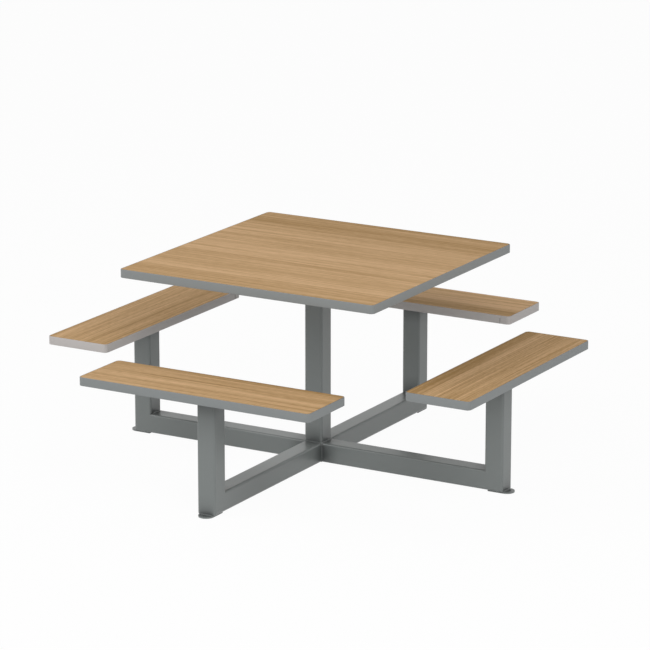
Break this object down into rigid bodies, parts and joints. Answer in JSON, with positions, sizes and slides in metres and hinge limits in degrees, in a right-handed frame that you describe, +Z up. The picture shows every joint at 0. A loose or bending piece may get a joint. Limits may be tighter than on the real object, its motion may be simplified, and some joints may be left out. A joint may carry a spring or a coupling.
{
  "type": "canteen table with fixed benches",
  "caption": "Square canteen table with a bench fixed on each side, oak decor boards with grey edge bands on one welded cross frame of square tube.",
  "frame": {"origin": "on the floor, under the middle of the table top", "axes": "+Z up; +X towards the right bench, +Y towards the back bench; the table-top grain runs along X"},
  "size_m": [1.674, 1.674, 0.74],
  "materials": {
    "frame_coat": "semi-gloss grey powder coat",
    "oak_decor": "matt light oak decor laminate",
    "backing_laminate": "matt grey backing laminate",
    "chipboard": "raw pressed chipboard",
    "edge_band_mid_grey": "satin mid grey ABS edge band",
    "edge_band_light_grey": "satin light grey ABS edge band"
  },
  "bodies": {
    "root": {"back_bench_backing": "backing_laminate", "back_bench_core": "chipboard", "back_bench_decor": "oak_decor", "back_bench_edge_band": "edge_band_light_grey", "back_bench_gusset_left": "frame_coat", "back_bench_gusset_right": "frame_coat", "back_bench_post": "frame_coat", "back_bench_support": "frame_coat", "back_floor_beam": "frame_coat", "back_foot_plate": "frame_coat", "centre_closing_plate": "frame_coat", "centre_post": "frame_coat", "front_bench_backing": "backing_laminate", "front_bench_core": "chipboard", "front_bench_decor": "oak_decor", "front_bench_edge_band": "edge_band_mid_grey", "front_bench_gusset_left": "frame_coat", "front_bench_gusset_right": "frame_coat", "front_bench_post": "frame_coat", "front_bench_support": "frame_coat", "front_floor_beam": "frame_coat", "front_foot_plate": "frame_coat", "left_bench_backing": "backing_laminate", "left_bench_core": "chipboard", "left_bench_decor": "oak_decor", "left_bench_edge_band": "edge_band_light_grey", "left_bench_gusset_back": "frame_coat", "left_bench_gusset_front": "frame_coat", "left_bench_post": "frame_coat", "left_bench_support": "frame_coat", "left_floor_beam": "frame_coat", "left_foot_plate": "frame_coat", "right_bench_backing": "backing_laminate", "right_bench_core": "chipboard", "right_bench_decor": "oak_decor", "right_bench_edge_band": "edge_band_mid_grey", "right_bench_gusset_back": "frame_coat", "right_bench_gusset_front": "frame_coat", "right_bench_post": "frame_coat", "right_bench_support": "frame_coat", "right_floor_beam": "frame_coat", "right_foot_plate": "frame_coat", "table_top_backing": "backing_laminate", "table_top_core": "chipboard", "table_top_decor": "oak_decor", "table_top_edge_band": "edge_band_mid_grey", "table_top_gusset_back": "frame_coat", "table_top_gusset_front": "frame_coat", "table_top_gusset_left": "frame_coat", "table_top_gusset_right": "frame_coat", "table_top_support": "frame_coat"}
  },
  "joints": []
}
